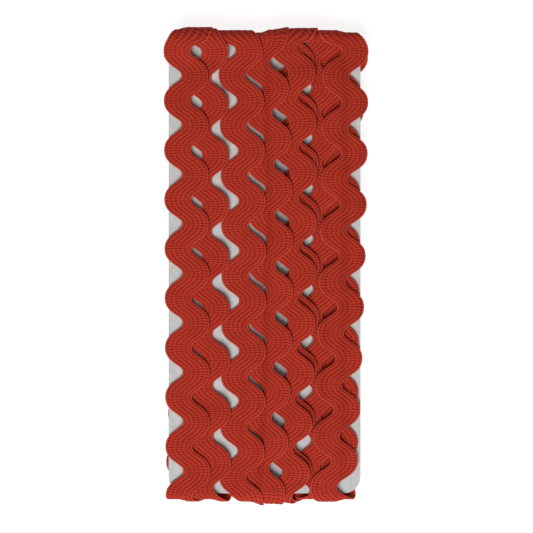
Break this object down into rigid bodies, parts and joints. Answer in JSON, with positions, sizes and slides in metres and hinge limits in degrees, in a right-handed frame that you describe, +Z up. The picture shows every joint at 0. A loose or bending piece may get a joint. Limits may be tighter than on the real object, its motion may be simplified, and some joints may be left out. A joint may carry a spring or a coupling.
{
  "type": "ric rac trimming wound on a card",
  "caption": "Wavy flat braid wound lengthwise in overlapping laps round a flat card with rounded corners.",
  "frame": {"origin": "on the table, under the middle of the whole", "axes": "+X across the card to the right, +Y along the card to its top end, +Z up from the table, out of the front"},
  "size_m": [0.0576, 0.1352, 0.0129],
  "materials": {
    "ric_rac": "red polyester flat braid, matt with a low sheen",
    "card": "pale grey uncoated board"
  },
  "bodies": {
    "root": {"ric_rac": "ric_rac", "card": "card"}
  },
  "joints": []
}
